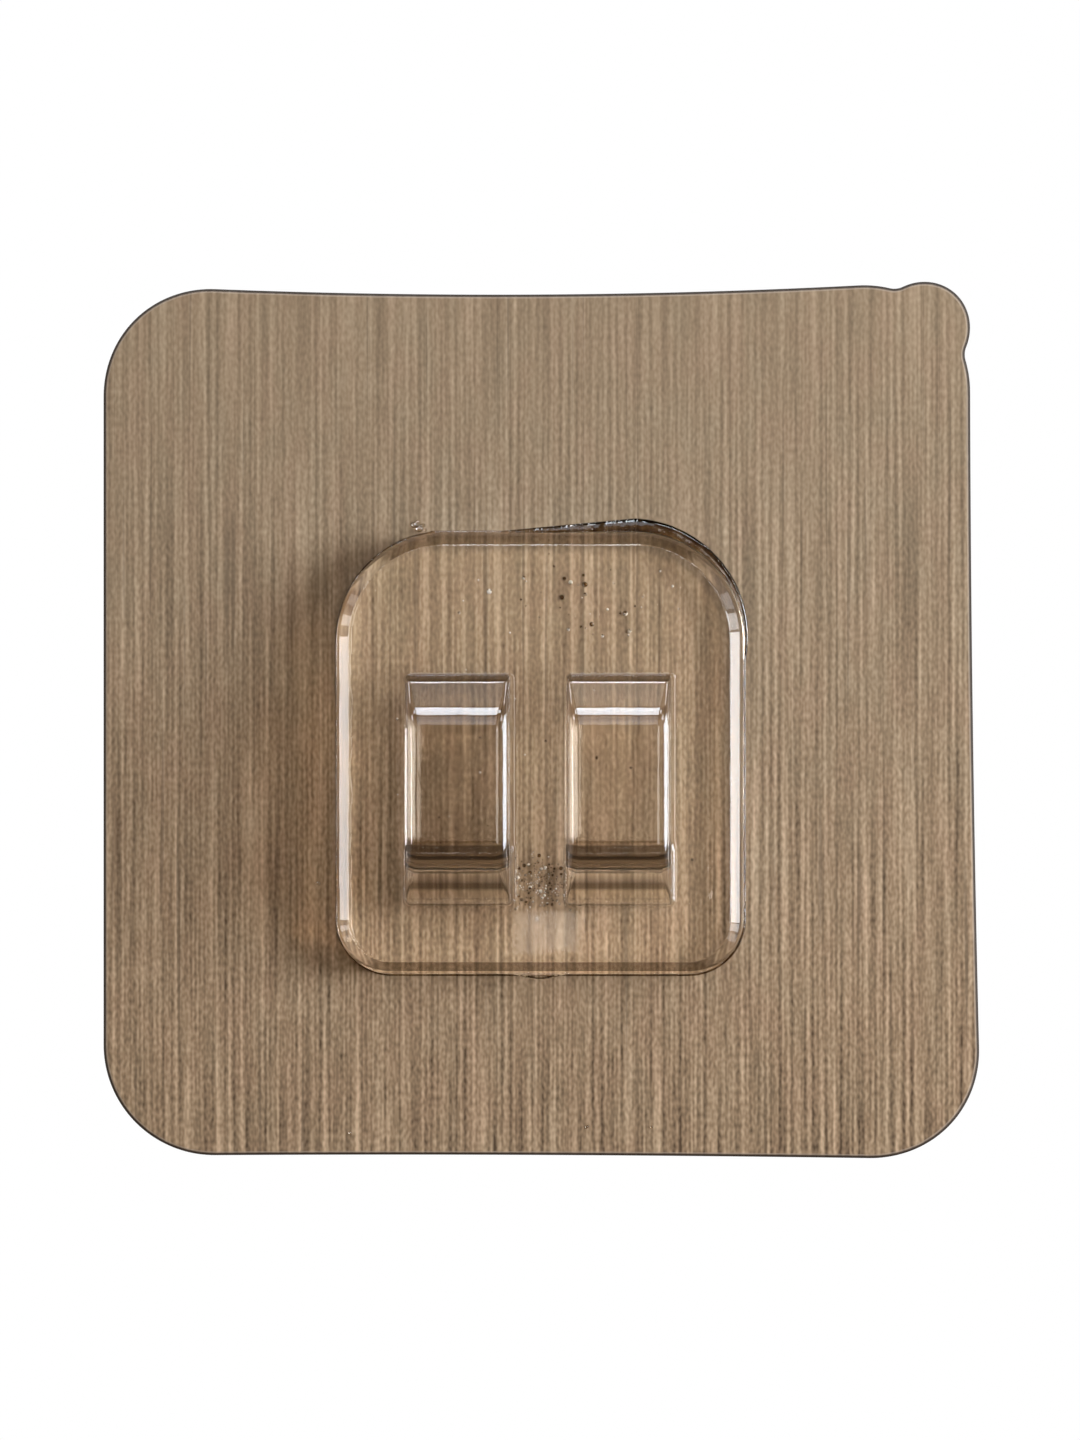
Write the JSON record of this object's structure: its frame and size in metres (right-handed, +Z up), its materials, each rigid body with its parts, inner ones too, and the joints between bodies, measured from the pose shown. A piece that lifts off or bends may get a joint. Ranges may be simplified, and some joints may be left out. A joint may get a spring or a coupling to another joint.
{
  "type": "adhesive wall hook",
  "caption": "Square adhesive wall hook: a brushed bronze sticker with a round peel tab carries a clear moulded plate with upright hooks that take a shelf rail or a thick wire.",
  "frame": {"origin": "middle of the square sheet on the back of the stack, which is the plane of the wall", "axes": "+Z up the wall, +Y into the wall, +X to the right of somebody who faces the wall"},
  "size_m": [0.07, 0.0121, 0.07],
  "materials": {
    "clear_plastic": "clear moulded plastic, polished",
    "clear_glue": "clear cured glue with small bubbles",
    "brushed_bronze": "metallised plastic film with an upright brushed grain",
    "carrier": "smooth ivory plastic sheet",
    "adhesive": "clear tacky acrylic layer",
    "liner": "silicone-coated release sheet"
  },
  "bodies": {
    "hook": {"hook_moulding": "clear_plastic", "bond_layer": "clear_glue", "brushed_film": "brushed_bronze", "carrier_sheet": "carrier", "wall_adhesive": "adhesive"},
    "liner": {"release_liner": "liner"}
  },
  "joints": [
    {"name": "liner_peel", "type": "slide", "parent": "hook", "child": "liner", "axis": [0, 1, 0], "range_m": [0, 0.04]}
  ]
}
